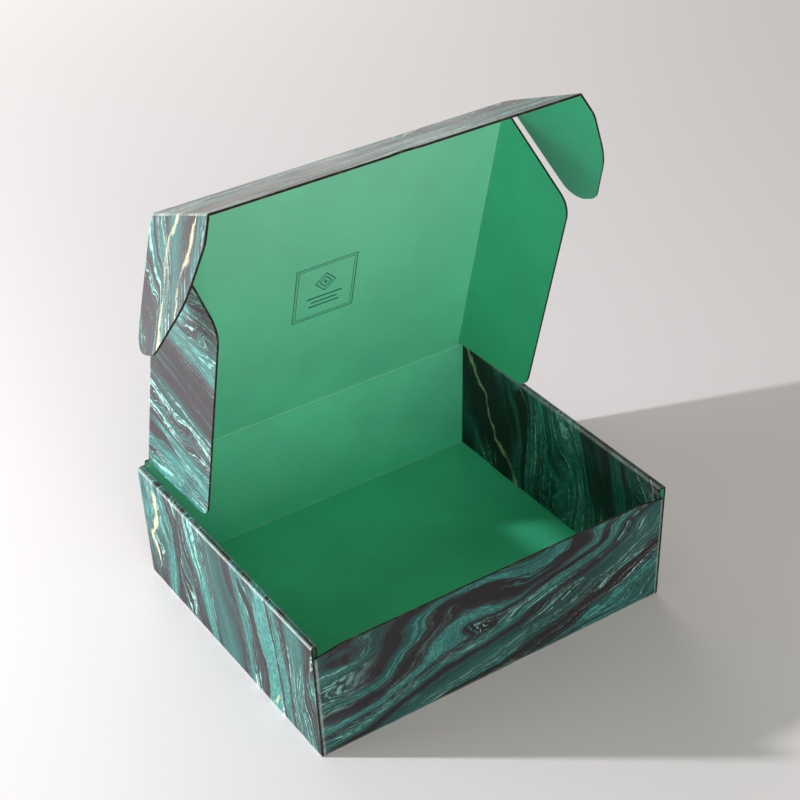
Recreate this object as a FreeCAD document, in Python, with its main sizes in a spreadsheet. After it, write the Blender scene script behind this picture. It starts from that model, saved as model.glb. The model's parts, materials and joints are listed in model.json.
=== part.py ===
import FreeCAD, Part
import os
import Sketcher

# A corrugated mailer box, cut and creased from one sheet of thin fluted board.
# The tray stands on its floor with its front towards -Y. The lid stands open on
# the crease along the top of the back wall, leaning a little over the tray.
# The origin is the middle of the floor's underside.

SIZES = {
    # the board, and the play that is left where it is folded or lies in layers
    "board": 1.4,
    "layer_gap": 0.15,
    "crease_gap": 0.25,
    "fold_radius": 1.1,
    # the tray
    "floor_width": 252.0,
    "tray_depth": 212.0,
    "side_height": 84.0,
    "front_drop": 6.0,
    "hinge_rise": 0.2,
    "wall_lean": 1.2,
    "end_inset": 0.5,
    "shoulder_slope": 2.6,
    "shoulder_run": 17.0,
    # the flaps of the front and back walls, shut between the layers of the side walls
    "lock_flap_length": 58.0,
    "lock_flap_drop": 6.0,
    # the tongues of the inner side walls, and their slots in the floor
    "tongue_width": 34.0,
    "tongue_spacing": 104.0,
    "tongue_recess": 0.25,
    # the lid and its side flaps, which go down inside the ears and the side walls
    "lid_angle": 75.0,
    "flap_play": 0.4,
    "flap_foot_gap": 8.3,
    "flap_rear": 3.2,
    "flap_front": 2.6,
    "flap_taper": 17.0,
    "flap_corner": 13.0,
    # the tuck flap along the lid's front edge, with a finger notch
    "tuck_angle": 52.0,
    "tuck_play": 0.6,
    "tuck_foot_gap": 4.8,
    "notch_width": 20.0,
    "notch_depth": 2.6,
    # the ears at the ends of the tuck flap
    "ear_angle": 66.0,
    "ear_play": 0.38,
    "ear_reach": 76.5,
    "ear_rear": 1.6,
    "ear_tip_run": 24.0,
    "ear_brow_reach": 46.0,
    "ear_brow_run": 60.5,
    "ear_cheek_reach": 15.0,
    "ear_front": 0.6,
    "ear_tip_radius": 13.0,
    "ear_brow_radius": 62.0,
}

doc = FreeCAD.newDocument("mailer_box")
sheet = doc.addObject("Spreadsheet::Sheet", "sizes")
for row, (alias, value) in enumerate(SIZES.items(), start=1):
    sheet.set(f"A{row}", alias)
    sheet.set(f"B{row}", str(value))
    sheet.setAlias(f"B{row}", alias)
doc.recompute()


def named(text):
    """Put the sheet's name before each size that a formula names."""
    words = []
    word = ""
    for letter in text + " ":
        if letter.isalnum() or letter == "_":
            word += letter
            continue
        words.append(f"sizes.{word}" if word in SIZES else word)
        words.append(letter)
        word = ""
    return "".join(words).strip()


def value_of(text):
    return float(sheet.evalExpression(named(text)))


def new_body(label):
    body = doc.addObject("PartDesign::Body", label)
    body.Label = label
    return body


def origin_plane(body, role):
    return next(p for p in body.Origin.OriginFeatures if p.Role == role)


def new_sketch(body, name, role, shift="0"):
    """A sketch on one of the body's own planes, moved along that plane's normal."""
    sketch = body.newObject("Sketcher::SketchObject", name)
    sketch.AttachmentSupport = [(origin_plane(body, role), "")]
    sketch.MapMode = "FlatFace"
    if shift != "0":
        sketch.setExpression("AttachmentOffset.Base.z", named(shift))
    return sketch


def fix_point(sketch, geometry, end, across, up):
    """Tie a point of the sketch to its two distances from the origin."""
    for kind, text in (("DistanceX", across), ("DistanceY", up)):
        index = sketch.addConstraint(
            Sketcher.Constraint(kind, -1, 1, geometry, end, value_of(text))
        )
        sketch.setExpression(f"Constraints[{index}]", named(text))


def add_outline(sketch, points):
    """A closed outline of straight lines through points given as two formulas each."""
    places = [FreeCAD.Vector(value_of(x), value_of(y), 0) for x, y in points]
    first = sketch.GeometryCount
    count = len(points)
    for i in range(count):
        sketch.addGeometry(Part.LineSegment(places[i], places[(i + 1) % count]), False)
    for i in range(count):
        following = first + (i + 1) % count
        sketch.addConstraint(Sketcher.Constraint("Coincident", first + i, 2, following, 1))
    for i, (x, y) in enumerate(points):
        fix_point(sketch, first + i, 1, x, y)


def add_circle(sketch, across, up, radius):
    centre = FreeCAD.Vector(value_of(across), value_of(up), 0)
    axis = FreeCAD.Vector(0, 0, 1)
    ring = sketch.addGeometry(Part.Circle(centre, axis, value_of(radius)), False)
    index = sketch.addConstraint(Sketcher.Constraint("Radius", ring, value_of(radius)))
    sketch.setExpression(f"Constraints[{index}]", named(radius))
    fix_point(sketch, ring, 3, across, up)


def mirrored(points):
    return [(f"-({x})", y) for x, y in points]


def pad(body, sketch, name, length, both_ways=False, backwards=False):
    feature = body.newObject("PartDesign::Pad", name)
    feature.Profile = sketch
    feature.Midplane = both_ways
    feature.Reversed = backwards
    feature.setExpression("Length", named(length))
    doc.recompute()
    return feature


def cut_through(body, sketch, name):
    """Cut the sketch's outline through the body, and see that it took material away."""
    before = body.Shape.Volume
    feature = body.newObject("PartDesign::Pocket", name)
    feature.Profile = sketch
    feature.Type = "ThroughAll"
    feature.Midplane = True
    doc.recompute()
    if body.Shape.Volume > before - 1.0:
        raise RuntimeError(f"{name} cut nothing")
    return feature


def round_edges(body, name, radius, wanted):
    """Round the edges whose two ends both pass the test."""
    names = []
    for number, edge in enumerate(body.Shape.Edges, start=1):
        ends = [vertex.Point for vertex in edge.Vertexes]
        if len(ends) == 2 and wanted(*ends):
            names.append(f"Edge{number}")
    if not names:
        raise RuntimeError(f"{name} found no edge")
    base = body.Tip
    feature = body.newObject("PartDesign::Fillet", name)
    feature.Base = (base, names)
    feature.setExpression("Radius", named(radius))
    doc.recompute()
    return feature


def near(first, second, play=0.02):
    return abs(first - second) < play


def edges_at(points, vertical):
    """A test for edges that run along one axis through one of the given places."""
    flat = [axis for axis in range(3) if axis != vertical]
    places = [[value_of(text) for text in point] for point in points]

    def wanted(start, end):
        if abs(start[vertical] - end[vertical]) < 0.5 * value_of("board"):
            return False
        return any(
            all(near(p[axis], place[k]) for p in (start, end) for k, axis in enumerate(flat))
            for place in places
        )

    return wanted


# Formulas that several panels share. The side walls lean outwards, so a half width
# grows with its height above the floor's underside.
HALF = "floor_width / 2"
LEAN = "tan(wall_lean)"
INSIDE_LAYERS = "3 * board + 2 * layer_gap"
HINGE_Y = "(tray_depth / 2 - end_inset - board / 2)"
HINGE_Z = "(side_height + hinge_rise)"
FRONT_TOP = "(side_height - front_drop)"
CREASE_START = "(board / 2 + crease_gap)"


def half_at(height, inwards="0"):
    return f"{HALF} + ({height}) * {LEAN} - ({inwards})"


def leaning_strip(low, high, outer, inner):
    """A cross section between two heights and between two depths into the side wall."""
    return [
        (half_at(low, outer), low),
        (half_at(high, outer), high),
        (half_at(high, inner), high),
        (half_at(low, inner), low),
    ]


# The lid reaches as far as lets its tuck flap slide down behind the front wall. Across
# the box the ears run just inside the side walls, and the lid's flaps just inside them.
LID_LENGTH = f"({HINGE_Y} + tray_depth / 2 - end_inset - 1.5 * board - tuck_play)"
TUCK_HALF = f"({half_at('side_height / 2', INSIDE_LAYERS)} - board / 2 - ear_play)"
LID_HALF = f"({TUCK_HALF} - board - flap_play)"
FLAP_WIDTH = f"({HINGE_Z} - board - flap_foot_gap)"
TUCK_LENGTH = f"({HINGE_Z} - board - tuck_foot_gap)"


# The tray: floor, back and front wall, side walls rolled over onto themselves.
tray = new_body("base_tray")

floor_sketch = new_sketch(tray, "floor_outline", "XY_Plane")
add_outline(
    floor_sketch,
    [
        (f"-({HALF})", "-(tray_depth / 2 - end_inset)"),
        (HALF, "-(tray_depth / 2 - end_inset)"),
        (HALF, "tray_depth / 2 - end_inset"),
        (f"-({HALF})", "tray_depth / 2 - end_inset"),
    ],
)
pad(tray, floor_sketch, "floor", "board")

outer_wall = leaning_strip("0", "side_height", "0", "board")
outer_sketch = new_sketch(tray, "outer_wall_section", "XZ_Plane")
add_outline(outer_sketch, outer_wall)
add_outline(outer_sketch, mirrored(outer_wall))
pad(tray, outer_sketch, "outer_walls", "tray_depth", both_ways=True)

roll_over = leaning_strip("side_height - board", "side_height", "0", INSIDE_LAYERS)
roll_sketch = new_sketch(tray, "roll_over_section", "XZ_Plane")
add_outline(roll_sketch, roll_over)
add_outline(roll_sketch, mirrored(roll_over))
pad(tray, roll_sketch, "roll_overs", "tray_depth", both_ways=True)

inner_wall = leaning_strip(
    "board + layer_gap", "side_height", "2 * board + 2 * layer_gap", INSIDE_LAYERS
)
inner_sketch = new_sketch(tray, "inner_wall_section", "XZ_Plane")
add_outline(inner_sketch, inner_wall)
add_outline(inner_sketch, mirrored(inner_wall))
INNER_DEPTH = "tray_depth - 2 * (end_inset + board + layer_gap)"
pad(tray, inner_sketch, "inner_walls", INNER_DEPTH, both_ways=True)

# The back wall fills the width between the outer walls up to the roll-overs. Only the
# part that carries the lid goes on up to the crease.
UNDER_ROLL = "side_height - board - layer_gap"
WALL_END = "board + layer_gap"
back_sketch = new_sketch(tray, "back_wall_outline", "XZ_Plane", "-(tray_depth / 2 - end_inset)")
add_outline(
    back_sketch,
    [
        (f"-({half_at('0', WALL_END)})", "0"),
        (half_at("0", WALL_END), "0"),
        (half_at(UNDER_ROLL, WALL_END), UNDER_ROLL),
        (f"{LID_HALF} + board / 2", UNDER_ROLL),
        (f"{LID_HALF} + board / 2", HINGE_Z),
        (f"-({LID_HALF} + board / 2)", HINGE_Z),
        (f"-({LID_HALF} + board / 2)", UNDER_ROLL),
        (f"-({half_at(UNDER_ROLL, WALL_END)})", UNDER_ROLL),
    ],
)
pad(tray, back_sketch, "back_wall", "board")

# The crease that carries the lid is a full round along the back wall's top edge.
crease_sketch = new_sketch(tray, "lid_crease_section", "YZ_Plane")
add_circle(crease_sketch, HINGE_Y, HINGE_Z, "board / 2")
pad(tray, crease_sketch, "lid_crease", f"2 * {LID_HALF} + board", both_ways=True)

# The front wall is lower than the side walls, and its shoulders slope down a little.
front_sketch = new_sketch(tray, "front_wall_outline", "XZ_Plane", "tray_depth / 2 - end_inset")
SHOULDER = f"{FRONT_TOP} - shoulder_slope"
SHOULDER_X = half_at(FRONT_TOP, f"{WALL_END} + shoulder_run")
add_outline(
    front_sketch,
    [
        (f"-({half_at('0', WALL_END)})", "0"),
        (half_at("0", WALL_END), "0"),
        (half_at(SHOULDER, WALL_END), SHOULDER),
        (SHOULDER_X, FRONT_TOP),
        (f"-({SHOULDER_X})", FRONT_TOP),
        (f"-({half_at(SHOULDER, WALL_END)})", SHOULDER),
    ],
)
pad(tray, front_sketch, "front_wall", "board", backwards=True)

# Each end of the front and back walls turns a corner and runs between the two layers
# of the side wall.
lock_flap = leaning_strip(
    "board + layer_gap", f"{FRONT_TOP} - lock_flap_drop", WALL_END, "2 * board + layer_gap"
)
for where, shift, turned in (
    ("front", "tray_depth / 2 - end_inset", True),
    ("back", "-(tray_depth / 2 - end_inset)", False),
):
    lock_sketch = new_sketch(tray, f"{where}_lock_flap_section", "XZ_Plane", shift)
    add_outline(lock_sketch, lock_flap)
    add_outline(lock_sketch, mirrored(lock_flap))
    pad(tray, lock_sketch, f"{where}_lock_flaps", "lock_flap_length", backwards=turned)

# Two tongues on each inner wall go down into slots in the floor.
TONGUE_MID = half_at("board / 2", "2.5 * board + 2 * layer_gap")
slot_sketch = new_sketch(tray, "tongue_slots", "XY_Plane")
tongue_sketch = new_sketch(tray, "tongues", "XY_Plane", "tongue_recess")
for turn in ("", "-"):
    for side in ("", "-"):
        for drawn, play in ((slot_sketch, "layer_gap"), (tongue_sketch, "0")):
            across = [f"{TONGUE_MID} {s} (board / 2 + {play})" for s in ("-", "+")]
            along = [
                f"{turn}(tongue_spacing / 2) {s} (tongue_width / 2 + {play})" for s in ("-", "+")
            ]
            corners = [(x, y) for x, y in zip(across + across[::-1], [along[0]] * 2 + [along[1]] * 2)]
            add_outline(drawn, mirrored(corners) if side else corners)
slots = tray.newObject("PartDesign::Pocket", "slots")
slots.Profile = slot_sketch
slots.setExpression("Length", named("board"))
slots.Reversed = True
before_slots = tray.Shape.Volume
doc.recompute()
if tray.Shape.Volume > before_slots - 100.0:
    raise RuntimeError("the tongue slots cut nothing")
pad(tray, tongue_sketch, "floor_tongues", "board + 2 * layer_gap")

# The board can't fold sharp: the roll-overs and the floor's side edges are rounded.
top = half_at("side_height")
top_inner = half_at("side_height", INSIDE_LAYERS)
for name, places in (
    ("outer_rolled_edges", [(top, "side_height"), (f"-({top})", "side_height")]),
    ("inner_rolled_edges", [(top_inner, "side_height"), (f"-({top_inner})", "side_height")]),
    ("floor_side_edges", [(HALF, "0"), (f"-({HALF})", "0")]),
):
    round_edges(tray, name, "fold_radius", edges_at(places, vertical=1))
ends = "tray_depth / 2 - end_inset"
round_edges(
    tray,
    "floor_edges",
    "fold_radius",
    edges_at([(f"-({ends})", "0"), (ends, "0")], vertical=0),
)


def placed(parent, shift, axis, angle):
    """The placement after a shift in the parent's frame and a turn about an axis there."""
    turn = FreeCAD.Rotation(FreeCAD.Vector(*axis), value_of(angle))
    base = FreeCAD.Vector(*[value_of(text) for text in shift])
    return parent.multiply(FreeCAD.Placement(base, turn))


# The lid, drawn flat: Y runs from its crease to its front edge, Z towards its inside.
lid = new_body("lid_panel")
panel_sketch = new_sketch(lid, "panel_outline", "XY_Plane")
add_outline(
    panel_sketch,
    [
        (f"-{LID_HALF}", CREASE_START),
        (LID_HALF, CREASE_START),
        (LID_HALF, LID_LENGTH),
        (f"-{LID_HALF}", LID_LENGTH),
    ],
)
pad(lid, panel_sketch, "panel", "board", both_ways=True)

edge_sketch = new_sketch(lid, "side_crease_section", "XZ_Plane", f"-({CREASE_START})")
add_circle(edge_sketch, LID_HALF, "0", "board / 2")
add_circle(edge_sketch, f"-{LID_HALF}", "0", "board / 2")
pad(lid, edge_sketch, "side_creases", f"{LID_LENGTH} - ({CREASE_START})", backwards=True)

tuck_crease_sketch = new_sketch(lid, "tuck_crease_section", "YZ_Plane")
add_circle(tuck_crease_sketch, LID_LENGTH, "0", "board / 2")
pad(lid, tuck_crease_sketch, "tuck_crease", f"2 * {LID_HALF}", both_ways=True)

side_flap = [
    ("flap_rear", "0"),
    (f"{LID_LENGTH} - flap_front", "0"),
    (f"{LID_LENGTH} - flap_front - {FLAP_WIDTH} * tan(flap_taper)", FLAP_WIDTH),
    (f"flap_rear + {FLAP_WIDTH} * tan(flap_taper)", FLAP_WIDTH),
]
for side, shift in (("left", f"-{LID_HALF}"), ("right", LID_HALF)):
    flap_sketch = new_sketch(lid, f"{side}_flap_outline", "YZ_Plane", shift)
    add_outline(flap_sketch, side_flap)
    pad(lid, flap_sketch, f"{side}_side_flap", "board", both_ways=True)
round_edges(
    lid, "flap_corners", "flap_corner", edges_at([side_flap[2], side_flap[3]], vertical=0)
)

# The tuck flap, drawn flat: Y runs from the lid's front edge to its own free edge.
tuck = new_body("tuck_flap")
tuck_sketch = new_sketch(tuck, "tuck_outline", "XY_Plane")
add_outline(
    tuck_sketch,
    [
        (f"-{TUCK_HALF}", CREASE_START),
        (TUCK_HALF, CREASE_START),
        (TUCK_HALF, TUCK_LENGTH),
        (f"-{TUCK_HALF}", TUCK_LENGTH),
    ],
)
pad(tuck, tuck_sketch, "tuck_plate", "board", both_ways=True)

end_sketch = new_sketch(tuck, "ear_crease_section", "XZ_Plane", f"-({CREASE_START})")
add_circle(end_sketch, TUCK_HALF, "0", "board / 2")
add_circle(end_sketch, f"-{TUCK_HALF}", "0", "board / 2")
pad(tuck, end_sketch, "ear_creases", f"{TUCK_LENGTH} - ({CREASE_START})", backwards=True)

# The finger notch is a shallow bow, cut by a circle that stands off the free edge.
NOTCH_RADIUS = "(notch_width ^ 2 / 4 + notch_depth ^ 2) / (2 * notch_depth)"
notch_sketch = new_sketch(tuck, "notch_bow", "XY_Plane")
add_circle(notch_sketch, "0", f"{TUCK_LENGTH} - notch_depth + {NOTCH_RADIUS}", NOTCH_RADIUS)
cut_through(tuck, notch_sketch, "finger_notch")

# An ear, drawn flat beside the tuck flap: X runs outwards from its crease, Y along it.
ear_outline = [
    (CREASE_START, "ear_rear"),
    ("ear_reach", "ear_rear"),
    ("ear_reach", "ear_rear + ear_tip_run"),
    ("ear_brow_reach", "ear_brow_run"),
    ("ear_cheek_reach", f"{TUCK_LENGTH} - ear_front"),
    (CREASE_START, f"{TUCK_LENGTH} - ear_front"),
]
ears = {}
for side in ("left", "right"):
    ear = new_body(f"tuck_ear_{side}")
    outline = ear_outline if side == "right" else mirrored(ear_outline)
    ear_sketch = new_sketch(ear, f"{side}_ear_outline", "XY_Plane")
    add_outline(ear_sketch, outline)
    pad(ear, ear_sketch, f"{side}_ear_plate", "board", both_ways=True)
    round_edges(
        ear, f"{side}_ear_tip", "ear_tip_radius", edges_at(outline[1:3], vertical=2)
    )
    round_edges(
        ear, f"{side}_ear_brow", "ear_brow_radius", edges_at([outline[3]], vertical=2)
    )
    round_edges(
        ear, f"{side}_ear_cheek", "ear_tip_radius", edges_at([outline[4]], vertical=2)
    )
    ears[side] = ear

# Stand the lid open on its crease, hang the tuck flap from its front edge, and hang the
# ears from the ends of the tuck flap.
X_AXIS = (1, 0, 0)
Y_AXIS = (0, 1, 0)
lid.Placement = placed(
    FreeCAD.Placement(), ("0", HINGE_Y, HINGE_Z), X_AXIS, "180 - lid_angle"
)
tuck.Placement = placed(lid.Placement, ("0", LID_LENGTH, "0"), X_AXIS, "tuck_angle")
ears["right"].Placement = placed(
    tuck.Placement, (TUCK_HALF, "0", "0"), Y_AXIS, "-ear_angle"
)
ears["left"].Placement = placed(
    tuck.Placement, (f"-{TUCK_HALF}", "0", "0"), Y_AXIS, "ear_angle"
)
doc.recompute()

for item in doc.Objects:
    if "Invalid" in item.State or "Error" in item.State:
        raise RuntimeError(f"{item.Name} failed: {item.State}")

os.makedirs("parts", exist_ok=True)
for body in (tray, lid, tuck, ears["left"], ears["right"]):
    shape = body.Shape
    if shape.isNull() or not shape.isValid() or len(shape.Solids) != 1:
        raise RuntimeError(f"{body.Label} is not one sound solid")
    shape.exportStep(f"parts/{body.Label}.step")
    box = shape.BoundBox
    reach = (box.XMin, box.XMax, box.YMin, box.YMax, box.ZMin, box.ZMax)
    print(body.Label, round(shape.Volume), "mm3", [round(v, 2) for v in reach])
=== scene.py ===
import json
import math
import bmesh
import bpy
from mathutils import Matrix, Vector


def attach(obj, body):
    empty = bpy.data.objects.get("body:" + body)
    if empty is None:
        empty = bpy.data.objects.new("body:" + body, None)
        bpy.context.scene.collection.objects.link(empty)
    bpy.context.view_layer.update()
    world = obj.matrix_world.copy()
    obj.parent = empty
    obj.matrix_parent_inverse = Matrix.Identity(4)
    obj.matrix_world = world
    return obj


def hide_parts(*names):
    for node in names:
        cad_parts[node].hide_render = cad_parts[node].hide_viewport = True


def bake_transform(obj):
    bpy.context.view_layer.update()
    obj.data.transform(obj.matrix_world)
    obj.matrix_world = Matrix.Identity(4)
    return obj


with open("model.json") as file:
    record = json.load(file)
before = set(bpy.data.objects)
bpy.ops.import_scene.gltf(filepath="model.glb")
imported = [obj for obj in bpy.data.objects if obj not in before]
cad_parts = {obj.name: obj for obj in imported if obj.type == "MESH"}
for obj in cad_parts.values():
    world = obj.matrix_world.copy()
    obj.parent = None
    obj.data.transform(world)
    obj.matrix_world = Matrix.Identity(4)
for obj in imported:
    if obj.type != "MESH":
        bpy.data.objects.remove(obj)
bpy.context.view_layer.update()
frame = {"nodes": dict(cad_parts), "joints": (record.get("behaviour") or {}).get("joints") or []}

mm = 0.001
joints = {j["name"]: j for j in frame["joints"]}
print("frame loaded:", sorted(frame["nodes"]))

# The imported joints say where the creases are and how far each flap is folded
across = Vector((1, 0, 0))
hingePlace = Vector(joints["lid_hinge"]["pos_m"])
tuckPlace = Vector(joints["tuck_fold"]["pos_m"])
earPlace = Vector(joints["right_ear_fold"]["pos_m"])
lidAlong = (tuckPlace - hingePlace).normalized()
lidLength = (tuckPlace - hingePlace).length / mm
lidInward = across.cross(lidAlong)
lidLean = Vector((0, 0, 1)).angle(lidAlong)
tuckAlong = Vector(joints["right_ear_fold"]["axis"]).normalized()
tuckInward = across.cross(tuckAlong)
tuckHalf = earPlace.x / mm
tuckFold = math.radians(joints["tuck_fold"]["range_deg"][1])
earFold = math.radians(joints["right_ear_fold"]["range_deg"][1])

board = {  # the sheet that the whole box is cut from, in millimetres
    "thickness": 1.4,
    "liner": 0.27,
    "recess": 0.8,
    "fluteLength": 3.3,
    "flutePaper": 0.17,
    "outerRadius": 1.05,
    "innerRadius": 0.3,
    "beadHeight": 0.16,
    "beadPlace": 1.5,
    "beadWidth": 0.55,
    "grid": 9.0,
    "leastColumns": 4,
    "reach": 3.6,  # how far a crease's own strip runs each way
    "bendReach": 1.5,  # how much of it bends
    "fineRows": 8,  # extra rows on each side of a fold
    "fineStep": 0.4,
    "foldClear": 0.05,
    "leastStep": 0.04,
    "mitreLimit": 0.6,
    "waveSteps": 10,
    "fluteInset": 0.06,
    "fluteTuck": 0.05,
    "sharpAngle": 32,
}
thick = board["thickness"]
farFromFold = 99.0  # creaseGap where no fold is near
insideFace, printFace, cutFace = 0, 1, 2
allEdges = (True, True, True, True)  # a strip's edges that show their fluted paper
bothEnds = (True, False, True, False)


def roundedOutline(corners, steps=12):
    points = []
    for i, (x, y, radius) in enumerate(corners):
        here = Vector((x, y))
        before = (Vector(corners[i - 1][:2]) - here).normalized()
        after = (Vector(corners[(i + 1) % len(corners)][:2]) - here).normalized()
        if radius <= 0:
            points.append(here)
            continue
        half = 0.5 * before.angle(after)
        middle = here + (before + after).normalized() * radius / math.sin(half)
        ends = [here + way * radius / math.tan(half) - middle for way in (before, after)]
        first, last = (math.atan2(end.y, end.x) for end in ends)
        turn = (last - first + math.pi) % (2 * math.pi) - math.pi
        for k in range(steps + 1):
            a = first + turn * k / steps
            points.append(middle + radius * Vector((math.cos(a), math.sin(a))))
    return points


# Lowest and highest y of an outline where it crosses x
def spanAt(outline, x):
    found = []
    for i, b in enumerate(outline):
        a = outline[i - 1]
        low, high = sorted((a.x, b.x))
        if not low - 1e-6 <= x <= high + 1e-6:
            continue
        if high - low < 1e-6:
            found += [a.y, b.y]
        else:
            found.append(a.y + (b.y - a.y) * (x - a.x) / (b.x - a.x))
    return min(found), max(found)


# Value at x of a line through knots
def alongKnots(knots, x):
    if x <= knots[0][0]:
        return knots[0][1]
    for (xa, ya), (xb, yb) in zip(knots, knots[1:]):
        if x <= xb:
            return ya + (yb - ya) * (x - xa) / max(xb - xa, 1e-9)
    return knots[-1][1]


def turned(way, angle):
    c, s = math.cos(angle), math.sin(angle)
    return Vector((way.x * c - way.y * s, way.x * s + way.y * c))


# The board's section across its folds. The corners lie on the printed side, and the
# green side is on their left. A station is (printed point, green point, flat, crease).
def foldedSection(corners, rows=(), arcSteps=6):
    points = [Vector(c) for c in corners]
    ways = [(b - a).normalized() for a, b in zip(points, points[1:])]
    sides = [Vector((-w.y, w.x)) for w in ways]
    lengths = [(b - a).length for a, b in zip(points, points[1:])]
    flats = [sum(lengths[:i]) for i in range(len(points))]
    folds = [0.0] + [math.tan(0.5 * a.angle(b)) for a, b in zip(ways, ways[1:])] + [0.0]
    inner, outer = board["innerRadius"], board["outerRadius"]
    clear = board["foldClear"]
    stations = []
    for i, (start, way, side, length) in enumerate(zip(points, ways, sides, lengths)):
        lead, tail = (thick + inner) * folds[i], (thick + inner) * folds[i + 1]
        count = max(1, round(length / board["grid"]))
        places = [length * k / count for k in range(1, count)] + [r - flats[i] for r in rows]
        for k in range(1, board["fineRows"] + 1):
            step = board["fineStep"] * k
            places += [lead + step] if folds[i] else []
            places += [length - tail - step] if folds[i + 1] else []
        places = [d for d in places if lead + clear < d < length - tail - clear]
        places += [0.0] if i == 0 else []
        places += [length] if i == len(ways) - 1 else []
        kept = []
        for d in sorted(places):
            if not kept or d - kept[-1] > board["leastStep"]:
                kept.append(d)
        for d in kept:
            rise, nearest = 0.0, farFromFold
            for fold, gone in ((folds[i], d), (folds[i + 1], length - d)):
                if fold:
                    apart = gone - thick * fold
                    nearest = min(nearest, apart)
                    off = (apart - board["beadPlace"]) / board["beadWidth"]
                    rise += board["beadHeight"] * math.exp(-off * off)
            printed = start + way * d
            stations.append((printed, printed + side * (thick + rise), flats[i] + d, nearest))
        if i == len(ways) - 1:
            break
        mitre = (side + sides[i + 1]) / (1 + side.dot(sides[i + 1]))
        outerMiddle = points[i + 1] + mitre * outer
        innerMiddle = points[i + 1] + mitre * (thick + inner)
        for k in range(arcSteps + 1):
            normal = turned(side, way.angle(ways[i + 1]) * k / arcSteps)
            flat = flats[i + 1] + (2 * k / arcSteps - 1) * outer * folds[i + 1]
            stations.append((outerMiddle - normal * outer, innerMiddle - normal * inner, flat, 0.0))
    return stations


# One sheet of board, gathered strip by strip
def newSheet():
    return {"points": [], "blank": [], "crease": [], "faces": [], "finish": []}


def addPoint(sheet, place, blank, crease):
    sheet["points"].append(place)
    sheet["blank"].append(blank)
    sheet["crease"].append(crease)
    return len(sheet["points"]) - 1


def addFace(sheet, corners, finish):
    sheet["faces"].append(corners)
    sheet["finish"].append(finish)


# A strip of board: a section run along its creases between the two ends that span gives.
# place turns section coordinates into a place, and blank gives the spot on the flat sheet.
def addStrip(sheet, stations, span, columns, place, blank, flutes=allEdges):
    rows = []
    for printed, green, flat, crease in stations:
        low, high = span(flat)
        row = []
        for k in range(columns + 1):
            c = low + (high - low) * k / columns
            spot = blank(flat, c)
            outside = addPoint(sheet, place(printed.x, printed.y, c), spot, crease)
            inside = addPoint(sheet, place(green.x, green.y, c), spot, crease)
            row.append((outside, inside))
        rows.append(row)
    for a, b in zip(rows, rows[1:]):
        for k in range(columns):
            for layer, finish in ((0, printFace), (1, insideFace)):
                corners = [a[k][layer], b[k][layer], b[k + 1][layer], a[k + 1][layer]]
                addFace(sheet, corners, finish)
    last, end = len(rows) - 1, columns
    low = [(rows[i][0], 0) for i in range(last)]
    far = [(rows[last][k], 1) for k in range(end)]
    high = [(rows[i][end], 2) for i in range(last, 0, -1)]
    near = [(rows[0][k], 3) for k in range(end, 0, -1)]
    addRim(sheet, low + far + high + near, flutes)


# The cut edge all round a strip: two liners, and between them the fluted paper, set back
def addRim(sheet, loop, flutes):
    points = sheet["points"]
    count = len(loop)
    mids = [(points[o] + points[g]) / 2 for (o, g), edge in loop]
    normals = [(points[g] - points[o]).normalized() for (o, g), edge in loop]
    middle = sum(mids, Vector()) / count
    ways = [(mids[(i + 1) % count] - mids[i]).normalized() for i in range(count)]
    turn = sum(n.cross(w).dot(middle - m) for n, w, m in zip(normals, ways, mids))
    sign = 1 if turn > 0 else -1
    inwards = []
    for i in range(count):
        a = sign * normals[i].cross(ways[i - 1]).normalized()
        b = sign * normals[i].cross(ways[i]).normalized()
        mean = (a + b).normalized()
        inwards.append(mean / max(board["mitreLimit"], mean.dot(b)))
    rings = []
    for ((o, g), edge), normal, inward in zip(loop, normals, inwards):
        skin = normal * board["liner"] * mm
        depth = inward * board["recess"] * mm
        outside, inside = points[o] + skin, points[g] - skin
        spots = [outside, outside + depth, inside + depth, inside]
        blank, crease = sheet["blank"][o], sheet["crease"][o]
        rings.append([o] + [addPoint(sheet, spot, blank, crease) for spot in spots] + [g])
    for i in range(count):
        a, b = rings[i], rings[(i + 1) % count]
        for k in range(len(a) - 1):
            addFace(sheet, [a[k], b[k], b[k + 1], a[k + 1]], cutFace)
    for i in range(count):
        n = (i + 1) % count
        if flutes[loop[i][1]]:
            addFlute(sheet, loop[i][0], loop[n][0], inwards[i], inwards[n])


# The fluted paper along one stretch of cut edge
def addFlute(sheet, start, end, inwardStart, inwardEnd):
    points, blanks = sheet["points"], sheet["blank"]
    waves = abs(blanks[end[0]][1] - blanks[start[0]][1]) / mm / board["fluteLength"]
    count = max(1, math.ceil(waves * board["waveSteps"]))
    swing = thick / 2 - board["liner"] - board["flutePaper"] / 2
    front, back = board["fluteInset"], board["recess"] + board["fluteTuck"]
    before = None
    for k in range(count + 1):
        share = k / count
        printed = points[start[0]].lerp(points[end[0]], share)
        green = points[start[1]].lerp(points[end[1]], share)
        inward = inwardStart.lerp(inwardEnd, share)
        spot = tuple(a + (b - a) * share for a, b in zip(blanks[start[0]], blanks[end[0]]))
        normal = (green - printed).normalized()
        height = thick / 2 + swing * math.sin(2 * math.pi * spot[1] / mm / board["fluteLength"])
        ring = []
        for layer, depth in ((-1, front), (1, front), (1, back), (-1, back)):
            rise = (height + layer * board["flutePaper"] / 2) * mm
            corner = printed + normal * rise + inward * depth * mm
            ring.append(addPoint(sheet, corner, spot, farFromFold))
        if before:
            for m in range(4):
                n = (m + 1) % 4
                addFace(sheet, [before[m], ring[m], ring[n], before[n]], cutFace)
        else:
            addFace(sheet, ring, cutFace)
        before = ring
    addFace(sheet, before[::-1], cutFace)


def newObject(name, data):
    thing = bpy.data.objects.new(name, data)
    bpy.context.scene.collection.objects.link(thing)
    return thing


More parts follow.
